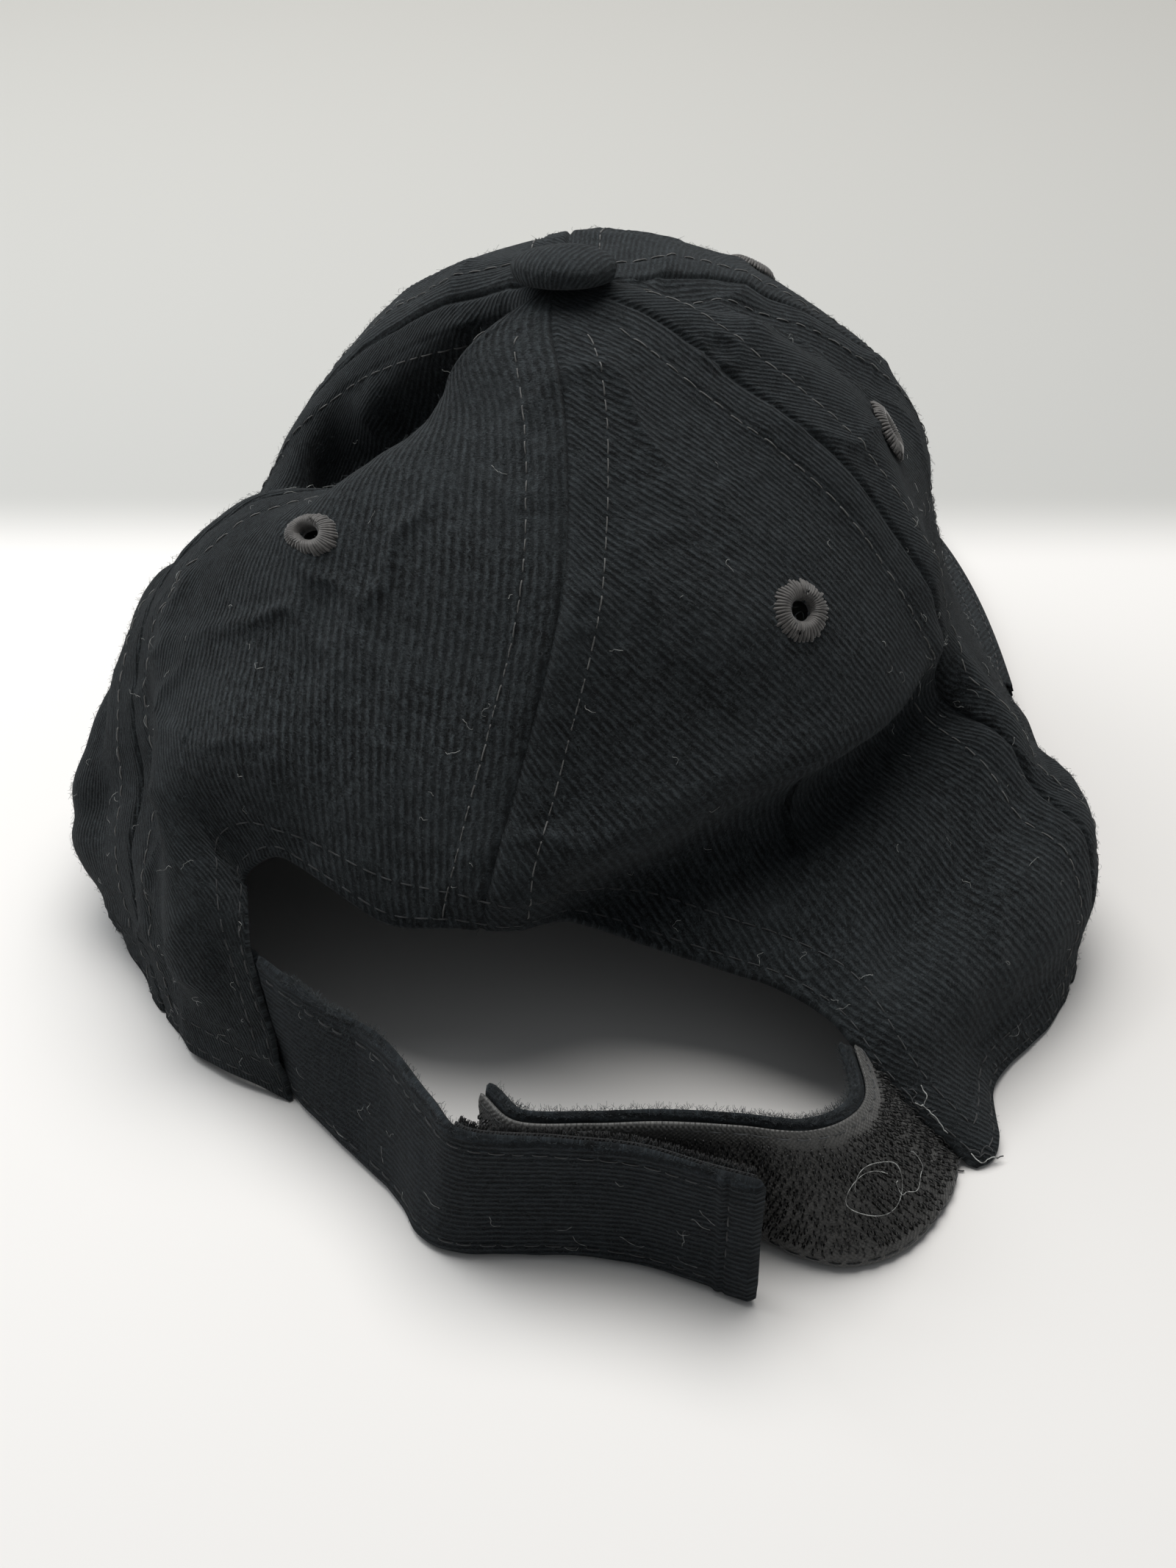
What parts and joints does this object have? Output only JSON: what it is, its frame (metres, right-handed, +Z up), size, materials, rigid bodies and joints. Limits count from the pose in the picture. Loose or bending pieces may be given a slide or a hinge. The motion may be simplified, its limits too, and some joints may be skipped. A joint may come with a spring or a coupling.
{
  "type": "baseball cap",
  "caption": "Soft unstructured baseball cap in brushed cotton twill, slumped as worn in, with a curved visor and a hook-and-loop back strap.",
  "frame": {"origin": "middle of the footprint, on the surface that the rim rests on", "axes": "+Z up, +Y towards the visor, the strap at -Y, +X the cap's right side as its back is looked at"},
  "size_m": [0.1805, 0.264, 0.1133],
  "materials": {
    "crown_twill": "brushed cotton twill, matte with a short nap",
    "strap_twill": "cotton twill, matte",
    "lining_cotton": "plain woven cotton, matte",
    "eyelet_thread": "embroidery thread, soft sheen",
    "button_steel": "stamped and zinc plated",
    "board_plastic": "moulded, matte",
    "hook_tape": "woven nylon tape with stiff hooks, faint gloss",
    "loop_tape": "woven nylon tape with soft loops"
  },
  "bodies": {
    "cap": {"back_right_panel": "crown_twill", "side_right_panel": "crown_twill", "front_right_panel": "crown_twill", "front_left_panel": "crown_twill", "side_left_panel": "crown_twill", "back_left_panel": "crown_twill", "back_right_eyelet": "eyelet_thread", "side_right_eyelet": "eyelet_thread", "front_right_eyelet": "eyelet_thread", "front_left_eyelet": "eyelet_thread", "side_left_eyelet": "eyelet_thread", "back_left_eyelet": "eyelet_thread", "back_seam_tape": "lining_cotton", "right_rear_seam_tape": "lining_cotton", "right_front_seam_tape": "lining_cotton", "front_seam_tape": "lining_cotton", "left_front_seam_tape": "lining_cotton", "left_rear_seam_tape": "lining_cotton", "arch_facing": "lining_cotton", "sweatband": "lining_cotton", "button_cover": "crown_twill", "button_shell": "button_steel", "button_washer": "button_steel", "visor_board": "board_plastic", "visor_top_cover": "crown_twill", "visor_under_cover": "crown_twill", "loop_strap_root": "strap_twill", "hook_strap_root": "strap_twill", "hook_strap_base": "strap_twill", "hook_tape_base": "hook_tape"},
    "loop_strap": {"loop_strap_base": "strap_twill"},
    "loop_flap": {"loop_strap_end": "strap_twill", "loop_tape": "loop_tape"},
    "hook_flap": {"hook_strap_end": "strap_twill", "hook_tape_end": "hook_tape"}
  },
  "joints": [
    {"name": "loop_strap_swing", "type": "hinge", "parent": "cap", "child": "loop_strap", "pos_m": [-0.04877, -0.08689, 0.01246], "axis": [0, 0, -1], "range_deg": [0, 40]},
    {"name": "loop_flap_peel", "type": "hinge", "parent": "loop_strap", "child": "loop_flap", "pos_m": [-0.0243, -0.1165, 0.01275], "axis": [0, 0, -1], "range_deg": [0, 90]},
    {"name": "hook_flap_swing", "type": "hinge", "parent": "cap", "child": "hook_flap", "pos_m": [0.02903, -0.11767, 0.01274], "axis": [0, 0, -1], "range_deg": [0, 60]}
  ]
}
